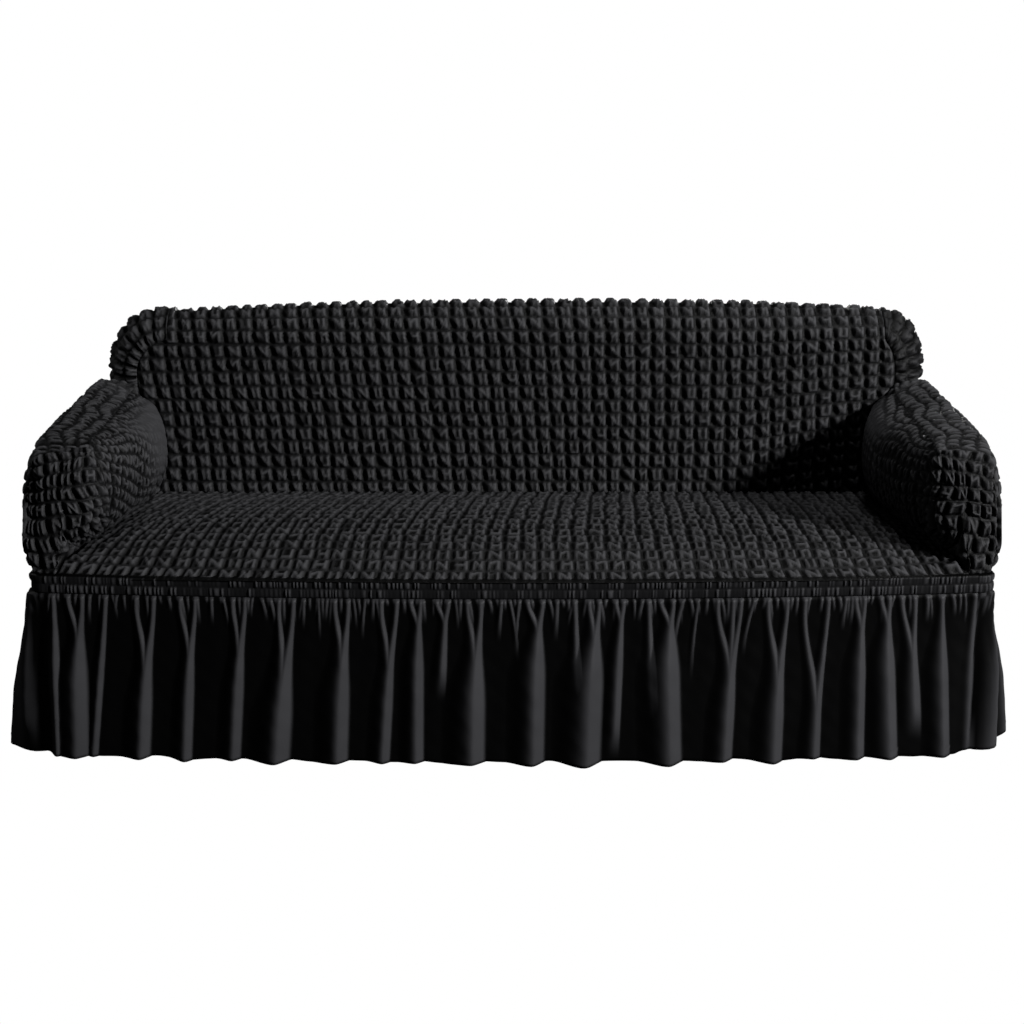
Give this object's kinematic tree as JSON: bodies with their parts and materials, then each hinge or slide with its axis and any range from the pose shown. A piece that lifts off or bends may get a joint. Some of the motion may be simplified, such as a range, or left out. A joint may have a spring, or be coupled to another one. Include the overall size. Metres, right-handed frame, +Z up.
{
  "type": "sofa slipcover",
  "caption": "Black fitted stretch slipcover for a three-seat sofa, in bubbly seersucker cloth, with a shirred heading band and a gathered skirt down to the floor.",
  "frame": {"origin": "underside of the cover at the middle of its top edge, where the sofa's back holds it up", "axes": "+X to the right of someone who faces the sofa, +Y towards its back, +Z up"},
  "size_m": [2.1264, 0.9114, 0.865],
  "materials": {
    "bubble_cloth": "matt puckered stretch seersucker",
    "band_cloth": "matt plain stretch cloth, shirred on elastic",
    "skirt_cloth": "smooth plain stretch cloth with a soft satin sheen"
  },
  "bodies": {
    "root": {"inside_back": "bubble_cloth", "outside_back": "bubble_cloth", "seat": "bubble_cloth", "back_end_left": "bubble_cloth", "back_end_right": "bubble_cloth", "arm_inside_left": "bubble_cloth", "arm_inside_right": "bubble_cloth", "arm_outside_left": "bubble_cloth", "arm_outside_right": "bubble_cloth", "arm_front_left": "bubble_cloth", "arm_front_right": "bubble_cloth", "heading_band": "band_cloth", "skirt": "skirt_cloth"}
  },
  "joints": []
}
